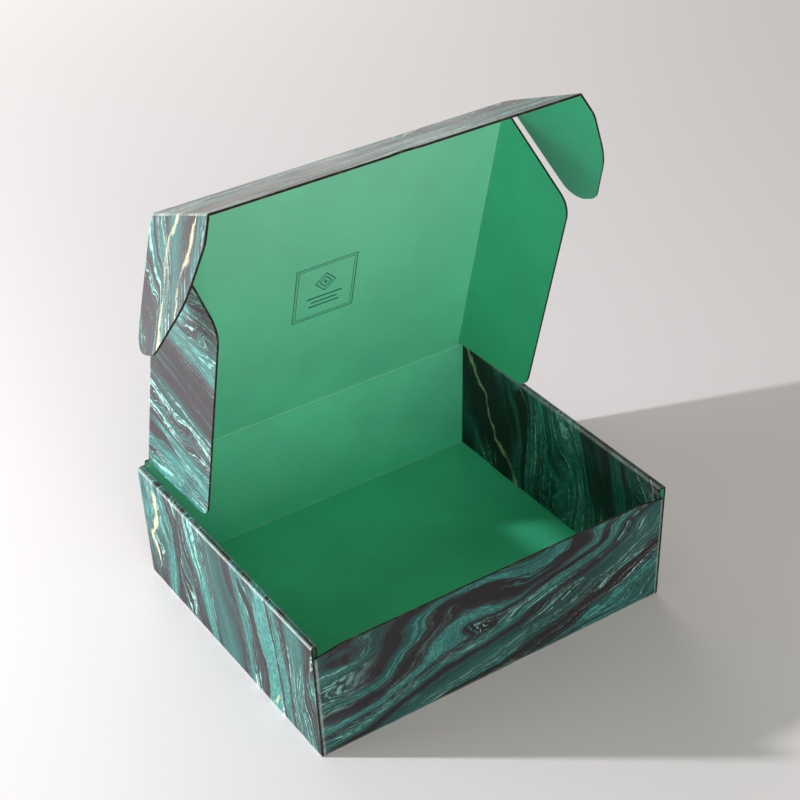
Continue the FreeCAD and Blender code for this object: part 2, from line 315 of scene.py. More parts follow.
def makePiece(name, sheet, finishes):
    mesh = bpy.data.meshes.new(name)
    mesh.from_pydata([tuple(p) for p in sheet["points"]], [], sheet["faces"])
    mesh.polygons.foreach_set("material_index", sheet["finish"])
    blank = mesh.attributes.new("blankPlace", "FLOAT_VECTOR", "POINT")
    blank.data.foreach_set("vector", [v for u, w in sheet["blank"] for v in (u, w, 0.0)])
    crease = mesh.attributes.new("creaseGap", "FLOAT", "POINT")
    crease.data.foreach_set("value", sheet["crease"])
    work = bmesh.new()
    work.from_mesh(mesh)
    bmesh.ops.recalc_face_normals(work, faces=work.faces)
    work.to_mesh(mesh)
    work.free()
    for finish in finishes:
        mesh.materials.append(finish)
    mesh.shade_smooth()
    mesh.set_sharp_from_angle(angle=math.radians(board["sharpAngle"]))
    return newObject(name, mesh)


# Places in a panel's own frame: along its run, towards its green side, and along a crease
def inFrame(origin, along, inward, crossways):
    return lambda a, b, c: origin + (along * a + inward * b + crossways * c) * mm


# Tray: a hoop of floor and rolled side walls, the front and back walls, and lock flaps
tray = {  # millimetres
    "floorWidth": 252.0,
    "topHalf": 127.76,
    "sideHeight": 84.0,
    "rollWidth": 4.5,
    "innerFootHalf": 121.53,
    "innerFoot": 1.55,
    "hoopHalf": 105.1,
    "rollHalf": 105.1,
    "innerHalf": 103.95,
    "seam": 100.5,
    "rollStart": 1.5,  # where the hoop's half depth changes, before and after its folds
    "rollFull": 0.6,
    "rollEase": 1,
    "rollRow": 1.8,
    "hoopEnd": 1.2,
    "seamStart": 1.9,
    "wallHalf": 105.5,
    "cornerHalf": 122.55,
    "backCornerHalf": 120.6,
    "backCornerTop": 84.0,
    "cornerFoot": 1.75,
    "lockHalf": 124.45,
    "lockReach": 58.0,
    "lockTop": 72.0,
    "lockSlope": (1, 7, 48),
    "lockDrop": 12,
    "frontHeight": 78.0,
    "shoulderSlope": 2.6,
    "shoulderRun": 17.0,
    "lean": math.tan(math.radians(1.2)),
    "slots": ((-69.4, -34.6), (34.6, 69.4)),
    "slotLow": 121.2,
    "slotHigh": 123.25,
    "tongueFoot": 0.25,
    "tongueGap": 0.4,
    "hair": 0.01,
    "ledge": 0.06,
    "wallRows": [3.6, 4.2],
    "columns": {"hoop": 26, "slot": 4, "floor": 24, "wall": 30, "lock": 9},
}


def mirrored(place, x, y=1):
    def put(a, b, c):
        spot = place(a, b, c)
        return Vector((x * spot.x, y * spot.y, spot.z))

    return put


def trayBoard(finishes):
    sheet = newSheet()
    t = tray
    lean, wide, flat = t["lean"], t["columns"], t["floorWidth"] / 2
    upright = lambda a, b, c: Vector((a, c, b)) * mm
    for side in (-1, 1):
        # From the inner wall's foot up, over the roll and down to the floor's slots
        corners = [
            (-t["innerFootHalf"], t["innerFoot"]),
            (-(t["topHalf"] - t["rollWidth"]), t["sideHeight"]),
            (-t["topHalf"], t["sideHeight"]),
            (-flat, 0),
            (-t["slotHigh"], 0),
        ]
        climb = (Vector(corners[1]) - Vector(corners[0])).length
        fall = climb + t["rollWidth"] + (Vector(corners[3]) - Vector(corners[2])).length
        knots = [
            (climb - t["rollStart"], t["innerHalf"]),
            (climb + t["rollFull"], t["rollHalf"]),
            (climb + t["rollWidth"] - t["rollEase"], t["rollHalf"]),
            (climb + t["rollWidth"] + t["rollEase"], t["hoopHalf"]),
            (fall + t["hoopEnd"], t["hoopHalf"]),
            (fall + t["seamStart"], t["seam"]),
        ]
        span = lambda f: (-alongKnots(knots, f), alongKnots(knots, f))
        blank = lambda f, c: (side * (flat + fall - f) * mm, c * mm)
        rows = (climb - t["rollRow"], fall + t["seamStart"])
        stations = foldedSection(corners, rows)
        addStrip(sheet, stations, span, wide["hoop"], mirrored(upright, -side), blank)
        # The tongues on the inner wall's foot, and the floor round their slots
        drop = (t["innerFoot"] - t["tongueFoot"]) * lean
        foot = [(-t["innerFootHalf"] + drop, t["tongueFoot"]), corners[0]]
        band = [(-t["slotHigh"], 0), (-t["slotLow"], 0)]
        edges = [-t["seam"]] + [y for slot in t["slots"] for y in slot] + [t["seam"]]
        columns, place = wide["slot"], mirrored(upright, -side)
        for low, high in t["slots"]:
            inside = lambda f: (low + t["tongueGap"], high - t["tongueGap"])
            addStrip(sheet, foldedSection(foot), inside, columns, place, blank)
        for low, high in zip(edges[::2], edges[1::2]):
            inside = lambda f: (low, high)
            onFloor = lambda f, c: (side * (t["slotHigh"] - f) * mm, c * mm)
            addStrip(sheet, foldedSection(band), inside, columns, place, onFloor)
    middle = foldedSection([(-t["slotLow"], 0), (t["slotLow"], 0)])
    span = lambda f: (-t["seam"], t["seam"])
    onFloor = lambda f, c: ((f - t["slotLow"]) * mm, c * mm)
    addStrip(sheet, middle, span, wide["floor"], upright, onFloor)
    # The front wall with its sloped shoulders, and the back wall up to the lid's crease
    backTop = hingePlace.z / mm - board["reach"]
    for way, top in ((-1, t["frontHeight"]), (1, backTop)):
        rise = t["wallHalf"] - t["seam"]
        corners = [(t["seam"], 0), (t["wallHalf"], 0), (t["wallHalf"], top)]
        shoulder = t["shoulderSlope"] if way < 0 else 0
        slope = t["shoulderRun"] / t["shoulderSlope"]
        corner = t["cornerHalf"] if way < 0 else t["backCornerHalf"]

        def halfWidth(f):
            z = f - rise
            if z < -thick:
                return t["slotHigh"]
            if z < t["cornerFoot"] + t["hair"]:
                return t["cornerHalf"] + max(0, z) * lean
            cut = (z - top + shoulder) * slope if shoulder and z > top - shoulder else 0
            return corner + z * lean - cut

        foot = rise + t["cornerFoot"]
        rows = t["wallRows"] + [foot, foot + t["ledge"]]
        rows += [rise + top - shoulder + t["hair"]] if shoulder else []
        upWall = lambda a, b, c: Vector((c, way * a, b)) * mm
        span = lambda f: (-halfWidth(f), halfWidth(f))
        blank = lambda f, c: (c * mm, way * (t["seam"] + f) * mm)
        addStrip(sheet, foldedSection(corners, rows), span, wide["wall"], upWall, blank)
        # Each end folds back between the layers of the side wall
        path = [
            (corner, -t["wallHalf"]),
            (t["lockHalf"], -t["wallHalf"]),
            (t["lockHalf"], -t["wallHalf"] + t["lockReach"]),
        ]
        high = top - shoulder if way < 0 else t["backCornerTop"]
        turn = t["lockHalf"] - corner
        first, second, third = (turn + run for run in t["lockSlope"])
        tops = [(first, high), (second, t["lockTop"]), (third, t["lockTop"])]
        tops.append((turn + t["lockReach"], t["lockTop"] - t["lockDrop"]))
        around = lambda a, b, c: Vector((a + c * lean, b, c)) * mm
        span = lambda f: (t["cornerFoot"], alongKnots(tops, f))
        for side in (-1, 1):
            blank = lambda f, c: (side * (corner + f) * mm, way * (t["wallHalf"] + c) * mm)
            stations = foldedSection(path, (first, second))
            place = mirrored(around, side, -way)
            addStrip(sheet, stations, span, wide["lock"], place, blank)
    piece = makePiece("trayBoard", sheet, finishes)
    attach(piece, "tray")
    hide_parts("base_tray")
    print("tray folded")


lid = {  # millimetres
    "half": 120.2,
    "creaseHalf": 122.3,
    "flapWidth": 74.5,
    "flapRear": 3.2,
    "flapFront": 205.0,
    "taperRear": 25.98,
    "taperFront": 182.2,
    "flapCorner": 13.0,
    "cornerRows": 11,
    "cornerStretch": 1.2,
    "foldZone": 0.3,
    "edgeRows": (0.31, 0.1),
    "columns": 24,
    "blankStart": 190.2,  # the lid's crease on the flat sheet, from the floor's centre
}


def lidBoard(finishes):
    sheet = newSheet()
    half, width, mid = lid["half"], lid["flapWidth"], thick / 2
    corner = lid["flapCorner"]
    outline = [(0, lid["flapRear"], 0), (width, lid["taperRear"], corner)]
    outline += [(width, lid["taperFront"], corner), (0, lid["flapFront"], 0)]
    outline = roundedOutline(outline)
    low, high = board["reach"], lidLength - board["reach"]
    centre = width + mid + half

    def span(f):
        out = abs(f - centre) - half - mid
        if out <= lid["foldZone"]:
            return low, high
        near, far = spanAt(outline, min(out, width))
        return max(low, near), min(high, far)

    section = [(-half, width), (-half, -mid), (half, -mid), (half, width)]
    count, stretch = lid["cornerRows"], lid["cornerStretch"]
    rounding = [corner * (1 - math.cos(a * math.pi / (2 * count))) for a in range(1, count)]
    rows = [r * stretch for r in rounding] + [2 * centre - r * stretch for r in rounding]
    for gap in lid["edgeRows"]:
        rows += [width - gap, 2 * centre - width + gap]
    place = inFrame(hingePlace, across, lidInward, lidAlong)
    blank = lambda f, c: ((f - centre) * mm, (lid["blankStart"] + c) * mm)
    addStrip(sheet, foldedSection(section, rows), span, lid["columns"], place, blank)
    piece = makePiece("lidBoard", sheet, finishes)
    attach(piece, "lid")
    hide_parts("lid_panel")
    print("lid folded")


tuck = {  # millimetres
    "length": 78.0,
    "notchWidth": 20.0,
    "notchDepth": 2.6,
    "creaseInset": 0.7,
    "columns": 9,
}


def tuckBoard(finishes):
    sheet = newSheet()
    half, mid = tuckHalf - board["reach"], thick / 2
    deep, bow = tuck["notchDepth"], tuck["notchWidth"] / 2
    radius = (bow * bow + deep * deep) / (2 * deep)

    def span(f):
        a = abs(f - half)
        cut = math.sqrt(radius * radius - a * a) - radius + deep if a < bow else 0
        return board["reach"], tuck["length"] - cut

    place = inFrame(tuckPlace, across, tuckInward, tuckAlong)
    blank = lambda f, c: ((f - half) * mm, (lid["blankStart"] + lidLength + c) * mm)
    rows = [half + k - bow for k in range(int(2 * bow) + 1)]
    stations = foldedSection([(-half, -mid), (half, -mid)], rows)
    addStrip(sheet, stations, span, tuck["columns"], place, blank, bothEnds)
    piece = makePiece("tuckBoard", sheet, finishes)
    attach(piece, "tuck")
    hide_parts("tuck_flap")
    print("tuck flap cut")


ear = {  # outline as (reach, along the crease, rounding), millimetres
    "outline": (
        (0, 1.6, 0),
        (76.5, 1.6, 13),
        (76.5, 25.6, 13),
        (46, 60.5, 62),
        (15, 77.4, 13),
        (0, 77.4, 0),
    ),
    "cutSteps": 16,
    "rowStep": 2.0,
    "rows": 30,
    "tipRows": 14,
    "tipReach": 13.5,
    "columns": 12,
    "creaseGap": 0.1,
    "creaseEnd": 77.4,
}


def earBoard(name, node, body, side, finishes):
    sheet = newSheet()
    mid, start = thick / 2, board["reach"]
    outline = roundedOutline(ear["outline"], ear["cutSteps"])
    reach = max(p.x for p in outline)
    out = Vector((side, 0, 0))
    along = math.cos(earFold) * out + math.sin(earFold) * tuckInward
    inward = math.cos(earFold) * tuckInward - math.sin(earFold) * out
    pivot = Vector((side * earPlace.x, earPlace.y, earPlace.z))
    span = lambda f: spanAt(outline, min(f + start, reach))
    blank = lambda f, c: (
        side * (tuckHalf + start + f) * mm,
        (lid["blankStart"] + lidLength + c) * mm,
    )
    rows = [k * ear["rowStep"] for k in range(1, ear["rows"])]
    for k in range(1, ear["tipRows"] + 1):
        bow = 1 - math.cos(k * math.pi / (2 * ear["tipRows"]))
        rows.append(reach - start - ear["tipReach"] * bow)
    stations = foldedSection([(start, -mid), (reach, -mid)], sorted(rows))
    place = inFrame(pivot, along, inward, tuckAlong)
    flutes = (True, True, True, False)
    addStrip(sheet, stations, span, ear["columns"], place, blank, flutes)
    piece = makePiece(name, sheet, finishes)
    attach(piece, body)
    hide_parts(node)
    print(name, "cut")


# A crease's own strip, folded at its joint's angle. ways are along, inward and crossways
# there, and onSheet holds its slot, which is not used, and where it lies on the flat sheet.
def creaseStrip(name, jointName, pivot, ways, bend, ends, onSheet, finishes):
    sheet, joint = newSheet(), joints[jointName]
    slot, spot = onSheet
    reach, mid = board["reach"], thick / 2
    first, normal = Vector((1, 0)), Vector((0, 1))
    second, after = turned(first, bend), turned(normal, bend)
    corner = -mid * (normal + after) / (1 + normal.dot(after))
    section = [(-reach, -mid), tuple(corner), tuple(reach * second - mid * after)]
    length = (Vector(section[1]) - Vector(section[0])).length
    blank = lambda f, c: spot(f - length, c)
    span = lambda f: ends
    place = inFrame(pivot, *ways)
    columns = max(board["leastColumns"], round((ends[1] - ends[0]) / board["grid"]))
    addStrip(sheet, foldedSection(section), span, columns, place, blank, bothEnds)
    piece = makePiece(name, sheet, finishes)
    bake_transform(piece)


def creaseStrips(finishes):
    lidStart = lid["blankStart"]
    tuckStart = lidStart + lidLength
    up, back = Vector((0, 0, 1)), Vector((0, -1, 0))
    onLid = ("lid_board", lambda f, c: (c * mm, (lidStart + f) * mm))
    onTuck = ("tuck_board", lambda f, c: (c * mm, (tuckStart + f) * mm))
    ways = (up, back, across)
    ends = (-lid["creaseHalf"], lid["creaseHalf"])
    creaseStrip("lidCrease", "lid_hinge", hingePlace, ways, lidLean, ends, onLid, finishes)
    ways = (lidAlong, lidInward, across)
    ends = (-lid["half"] + tuck["creaseInset"], lid["half"] - tuck["creaseInset"])
    creaseStrip("tuckCrease", "tuck_fold", tuckPlace, ways, tuckFold, ends, onTuck, finishes)
    ends = (board["reach"] + ear["creaseGap"], ear["creaseEnd"])
    for side, name in ((-1, "Left"), (1, "Right")):
        ways = (Vector((side, 0, 0)), tuckInward, tuckAlong)
        pivot = Vector((side * earPlace.x, earPlace.y, earPlace.z))
        spot = lambda f, c: (side * (tuckHalf + f) * mm, (tuckStart + c) * mm)
        onEar = ("ear_board", spot)
        joint = name.lower() + "_ear_fold"
        creaseStrip("earCrease" + name, joint, pivot, ways, earFold, ends, onEar, finishes)
    print("creases made")


# Links or sets a node's inputs
def plug(tree, node, inputs):
    for key, value in (inputs or {}).items():
        if isinstance(value, bpy.types.NodeSocket):
            tree.links.new(value, node.inputs[key])
        else:
            node.inputs[key].default_value = value


def add(tree, kind, inputs=None, **settings):
    node = tree.nodes.new("ShaderNode" + kind)
    for key, value in settings.items():
        setattr(node, key, value)
    plug(tree, node, inputs)
    return node


def calc(tree, operation, *values):
    return add(tree, "Math", dict(enumerate(values)), operation=operation).outputs[0]


def times(tree, a, b):
    return calc(tree, "MULTIPLY", a, b)


def timesPlus(tree, a, b, c):
    return calc(tree, "MULTIPLY_ADD", a, b, c)


def vectorCalc(tree, operation, *values, out=0):
    node = add(tree, "VectorMath", dict(enumerate(values)), operation=operation)
    return node.outputs[out]


def scaled(tree, vector, factor):
    inputs = {"Vector": vector, "Scale": factor}
    return add(tree, "VectorMath", inputs, operation="SCALE").outputs[0]


# Noise about its mean
def centred(tree, value):
    return calc(tree, "SUBTRACT", value, 0.5)


def mixed(tree, factor, a, b, blend="MIX"):
    inputs = {0: factor, 6: a, 7: b}
    return add(tree, "Mix", inputs, data_type="RGBA", blend_type=blend).outputs[2]


# A tone over colour: share of it where mask is 1
def laidOver(tree, colour, mask, share, tone):
    return mixed(tree, times(tree, mask, share), colour, (*tone, 1))


def shaded(tree, colour, shade):
    grey = add(tree, "CombineColor", {0: shade, 1: shade, 2: shade})
    return mixed(tree, 1.0, colour, grey.outputs[0], "MULTIPLY")


# From 0 to 1 as value goes from low to high, smoothly
def smoothed(tree, value, low, high, start=0.0, end=1.0):
    inputs = {"Value": value, "From Min": low, "From Max": high, "To Min": start, "To Max": end}
    return add(tree, "MapRange", inputs, interpolation_type="SMOOTHSTEP").outputs[0]


def noise(tree, vector, scale, detail, rough=0.5, distortion=0.0, out=0):
    inputs = {"Vector": vector, "Scale": scale, "Detail": detail, "Roughness": rough}
    inputs["Distortion"] = distortion
    return add(tree, "TexNoise", inputs).outputs[out]


# Noise as a way to push a place, about zero
def pushNoise(tree, vector, scale, detail):
    push = noise(tree, vector, scale, detail, out=1)
    return vectorCalc(tree, "SUBTRACT", push, (0.5, 0.5, 0.5))


def stretchedNoise(tree, vector, stretch, *settings):
    return noise(tree, vectorCalc(tree, "MULTIPLY", vector, stretch), *settings)


def lineNoise(tree, value, scale, detail, rough):
    inputs = {"W": value, "Scale": scale, "Detail": detail, "Roughness": rough}
    return add(tree, "TexNoise", inputs, noise_dimensions="1D").outputs[0]


# Soft patches: the noise and the ends that settings has under name
def patches(tree, place, settings, name):
    value = noise(tree, place, *settings[name + "Noise"])
    return smoothed(tree, value, *settings[name + "Ends"])


def ramp(tree, value, stops):
    node = add(tree, "ValToRGB", {"Fac": value})
    elements = node.color_ramp.elements
    while len(elements) < len(stops):
        elements.new(0.5)
    for element, (place, colour) in zip(elements, stops):
        element.position = place
        element.color = (*colour, 1)
    return node.outputs[0]


def attribute(tree, name, output):
    return add(tree, "Attribute", attribute_name=name).outputs[output]


# A group of nodes that takes a place and the numbers in inputs
def newGroup(name, inputs, outputs):
    tree = bpy.data.node_groups.new(name, "ShaderNodeTree")
    newSocket = tree.interface.new_socket
    newSocket("Place", in_out="INPUT", socket_type="NodeSocketVector")
    for label, value in inputs.items():
        socket = newSocket(label, in_out="INPUT", socket_type="NodeSocketFloat")
        socket.default_value = value
    for label in outputs:
        newSocket(label, in_out="OUTPUT", socket_type="NodeSocketFloat")
    start, end = tree.nodes.new("NodeGroupInput"), tree.nodes.new("NodeGroupOutput")
    return tree, start.outputs, end.inputs


def useGroup(tree, group, inputs):
    node = tree.nodes.new("ShaderNodeGroup")
    node.node_tree = group
    plug(tree, node, inputs)
    return node.outputs


paper = {  # the liner paper; noise is scale, detail and roughness
    "fibreNoise": ((420.0, 1500.0, 1.0), 1.0, 4.0, 0.6),  # with its stretch first
    "cloudNoise": (38.0, 3.0, 0.55),
    "wobbleNoise": (30.0, 1.0),
    "wobble": 1.6,
    "fibreShade": 0.30,
    "cloudShade": 0.22,
    "waveShade": 0.012,
    "fibreHeight": 0.35,
    "waveHeight": 0.5,
    "bumpStrength": 0.5,
    "bumpDistance": 0.00006,
    "smudgeNoise": (4.0, 0.6, 0.6),
    "smudgeEnds": (0.3, 0.7),
    "smudgeSwing": (-0.05, 0.06),
}


# Fine fibres of the liner paper, and the faint washboard of the flutes under it
def paperFibreGroup():
    inputs = {"Fibre": 1.0, "Washboard": 1.0}
    tree, given, out = newGroup("paperFibre", inputs, ("Shade", "Height"))
    p, place, amount = paper, given["Place"], given["Fibre"]
    fibre = stretchedNoise(tree, place, *p["fibreNoise"])
    cloud = noise(tree, place, *p["cloudNoise"])
    split = add(tree, "SeparateXYZ", {0: place})
    turn = 2 * math.pi / (board["fluteLength"] * mm)
    wobble = times(tree, noise(tree, place, *p["wobbleNoise"]), p["wobble"])
    phase = timesPlus(tree, split.outputs[1], turn, wobble)
    wave = times(tree, calc(tree, "SINE", phase), given["Washboard"])
    grain = times(tree, centred(tree, fibre), amount)
    patch = times(tree, centred(tree, cloud), amount)
    mottle = timesPlus(tree, grain, p["fibreShade"], times(tree, patch, p["cloudShade"]))
    shade = timesPlus(tree, wave, p["waveShade"], mottle)
    tree.links.new(calc(tree, "ADD", shade, 1.0), out["Shade"])
    rise = timesPlus(tree, wave, p["waveHeight"], times(tree, grain, p["fibreHeight"]))
    tree.links.new(rise, out["Height"])
    return tree


foldWear = {
    "patchNoise": (70.0, 3.0, 0.6),
    "patchEnds": (0.25, 0.7),
    "speckNoise": (2600.0, 3.0, 0.7),
    "speckEnds": (0.70, 0.86),
    "patchPull": 0.30,
    "nearPull": 0.12,
    "reach": 1.6,
    "speckReach": 0.55,
}


# Whitened board along a fold: a soft lift near it, and worn flecks right on it
def foldWearGroup():
    inputs = {"Gap": farFromFold, "Reach": foldWear["reach"]}
    tree, given, out = newGroup("foldWear", inputs, ("Lift", "Fleck"))
    f, place, gap = foldWear, given["Place"], given["Gap"]
    near = {0: gap, 1: 0.0, 2: given["Reach"], 3: 1.0, 4: 0.0}
    near = add(tree, "MapRange", near).outputs[0]
    patch = noise(tree, place, *f["patchNoise"])
    lift = times(tree, near, smoothed(tree, patch, *f["patchEnds"]))
    tree.links.new(lift, out["Lift"])
    speck = noise(tree, place, *f["speckNoise"])
    speck = timesPlus(tree, near, f["nearPull"], speck)
    speck = timesPlus(tree, patch, f["patchPull"], speck)
    fleck = smoothed(tree, speck, *f["speckEnds"])
    fleck = times(tree, fleck, smoothed(tree, gap, f["speckReach"], 0.0))
    tree.links.new(fleck, out["Fleck"])
    return tree


def newMaterial(name):
    material = bpy.data.materials.new(name)
    material.use_nodes = True
    tree = material.node_tree
    tree.nodes.clear()
    return material, tree


def finishMaterial(tree, colour, roughness, specular, normal=None):
    inputs = {"Base Color": colour, "Roughness": roughness, "Specular IOR Level": specular}
    if normal is not None:
        inputs["Normal"] = normal
    shader = add(tree, "BsdfPrincipled", inputs)
    end = add(tree, "OutputMaterial")
    tree.links.new(shader.outputs[0], end.inputs[0])


# A printed face: gloss with the smudges of handling in it, and the paper's relief
def finishPrint(tree, place, colour, height, settings):
    smudge = noise(tree, place, settings["smudgeScale"], *paper["smudgeNoise"])
    ends = (settings["roughness"] + swing for swing in paper["smudgeSwing"])
    roughness = smoothed(tree, smudge, *paper["smudgeEnds"], *ends)
    inputs = {"Height": height, "Strength": paper["bumpStrength"]}
    inputs["Distance"] = paper["bumpDistance"]
    normal = add(tree, "Bump", inputs).outputs[0]
    finishMaterial(tree, colour, roughness, settings["specular"], normal)


liner = {  # the green printed inside; colours are linear, places in metres
    "green": (0.050, 0.545, 0.292),
    "inkNoise": (9.0, 2.0),
    "inkEnds": (0.3, 0.7),
    "inkSwing": (0.93, 1.07),
    "worn": (0.33, 0.62, 0.47),
    "wearReach": 2.6,
    "liftShare": 0.16,
    "fleckShare": 0.5,
    # pale and the four entries after it: the tone and reach of the painted sheen on the lid's
    # inside
    "pale": (0.45, 0.64, 0.54),
    "paintedSheenShare": (0.07, 0.27),
    "paintedSheenEnds": (0.12, 0.42),
    "paintedSheenStart": (0.105, 0.14),
    "paintedSheenSides": (0.1225, 0.1195),
    "speck": (0.0687, 0.1209, 0),
    "speckColour": (0.012, 0.05, 0.035),
    "speckEnds": (0.0009, 0.0005),
    "speckShare": 0.85,
    "dotScale": 130.0,
    "dotRarity": 0.93,
    "dotEnds": (0.06, 0.03),
    "dotShare": 0.35,
    "smudgeScale": 24.0,
    "roughness": 0.56,
    "specular": 1.0,
}

lidPrint = {  # what is printed on the lid's inside, in millimetres
    "ink": (0.012, 0.085, 0.055),
    "share": 0.95,
    "centre": (1.0, 292.6),
    "half": (22.0, 21.8),
    "lineWidth": 0.75,
    "innerWidth": 0.7,
    "lineGap": 1.7,
    "blur": 0.12,
    "lozengeRise": 6.0,
    "lozenges": (7.2, 4.2),
    "lozengeEnds": (0.70, 0.46),
    "dotEnds": (1.7, 1.4),
    "rules": ((-5.2, 13.0), (-8.8, 9.5), (-12.2, 11.0)),
    "ruleHalf": 0.6,
    "thinNoise": (600.0, 2.0),
    "thinEnds": (0.2, 0.45),
}


# How far x, y lies outside a rectangle about zero, negative within it
def outsideBox(tree, x, y, halfX, halfY):
    dx = calc(tree, "SUBTRACT", calc(tree, "ABSOLUTE", x), halfX)
    dy = calc(tree, "SUBTRACT", calc(tree, "ABSOLUTE", y), halfY)
    return calc(tree, "MAXIMUM", dx, dy)


# A plain double frame with a lozenge and short rules in it
def printedFrame(tree, place):
    d = lidPrint
    blur, gap = d["blur"], d["lineGap"]
    split = add(tree, "SeparateXYZ", {0: scaled(tree, place, 1 / mm)})
    x, y = (calc(tree, "SUBTRACT", split.outputs[i], d["centre"][i]) for i in (0, 1))
    marks = 0.0
    for inset, width in ((0, d["lineWidth"]), (gap, d["lineWidth"] * d["innerWidth"])):
        away = outsideBox(tree, x, y, d["half"][0] - inset, d["half"][1] - inset)
        away = calc(tree, "ABSOLUTE", away)
        line = smoothed(tree, away, width * 0.5 + blur, width * 0.5 - blur)
        marks = calc(tree, "MAXIMUM", marks, line)
    upper = calc(tree, "SUBTRACT", y, d["lozengeRise"])
    size = calc(tree, "ADD", calc(tree, "ABSOLUTE", x), calc(tree, "ABSOLUTE", upper))
    for radius in d["lozenges"]:
        away = calc(tree, "ABSOLUTE", calc(tree, "SUBTRACT", size, radius))
        marks = calc(tree, "MAXIMUM", marks, smoothed(tree, away, *d["lozengeEnds"]))
    marks = calc(tree, "MAXIMUM", marks, smoothed(tree, size, *d["dotEnds"]))
    for low, half in d["rules"]:
        rule = outsideBox(tree, x, calc(tree, "SUBTRACT", y, low), half, d["ruleHalf"])
        marks = calc(tree, "MAXIMUM", marks, smoothed(tree, rule, blur, -blur))
    return marks


def greenLinerMaterial(fibre, wear):
    material, tree = newMaterial("greenLiner")
    g = liner
    place = attribute(tree, "blankPlace", "Vector")
    gap = attribute(tree, "creaseGap", "Fac")
    fibres = useGroup(tree, fibre, {"Place": place})
    worn = useGroup(tree, wear, {"Place": place, "Gap": gap, "Reach": g["wearReach"]})
    ink = patches(tree, place, g, "ink")
    low, high = ((*(Vector(g["green"]) * swing), 1) for swing in g["inkSwing"])
    colour = shaded(tree, mixed(tree, ink, low, high), fibres["Shade"])
    # Painted sheen: the lid's inside is washed paler than the tray, more so towards its front edge
    split = add(tree, "SeparateXYZ", {0: place})
    thin = smoothed(tree, split.outputs[1], *g["paintedSheenEnds"], *g["paintedSheenShare"])
    thin = times(tree, thin, smoothed(tree, split.outputs[1], *g["paintedSheenStart"]))
    aside = smoothed(tree, calc(tree, "ABSOLUTE", split.outputs[0]), *g["paintedSheenSides"])
    colour = laidOver(tree, colour, thin, aside, g["pale"])
    marks = times(tree, printedFrame(tree, place), patches(tree, place, lidPrint, "thin"))
    colour = laidOver(tree, colour, marks, lidPrint["share"], lidPrint["ink"])
    colour = laidOver(tree, colour, worn["Lift"], g["liftShare"], g["worn"])
    colour = laidOver(tree, colour, worn["Fleck"], g["fleckShare"], g["worn"])
    # A dark speck on the back wall and fine dust spots over all of it
    away = vectorCalc(tree, "SUBTRACT", place, g["speck"])
    away = vectorCalc(tree, "LENGTH", away, out="Value")
    speck = smoothed(tree, away, *g["speckEnds"])
    colour = laidOver(tree, colour, speck, g["speckShare"], g["speckColour"])
    dots = add(tree, "TexVoronoi", {"Vector": place, "Scale": g["dotScale"]}, feature="F1")
    pick = add(tree, "SeparateColor", {0: dots.outputs["Color"]}).outputs[0]
    rare = calc(tree, "GREATER_THAN", pick, g["dotRarity"])
    dot = smoothed(tree, dots.outputs["Distance"], *g["dotEnds"])
    dot = times(tree, dot, rare)
    colour = laidOver(tree, colour, dot, g["dotShare"], g["worn"])
    finishPrint(tree, place, colour, fibres["Height"], g)
    print("green liner made")
    return material


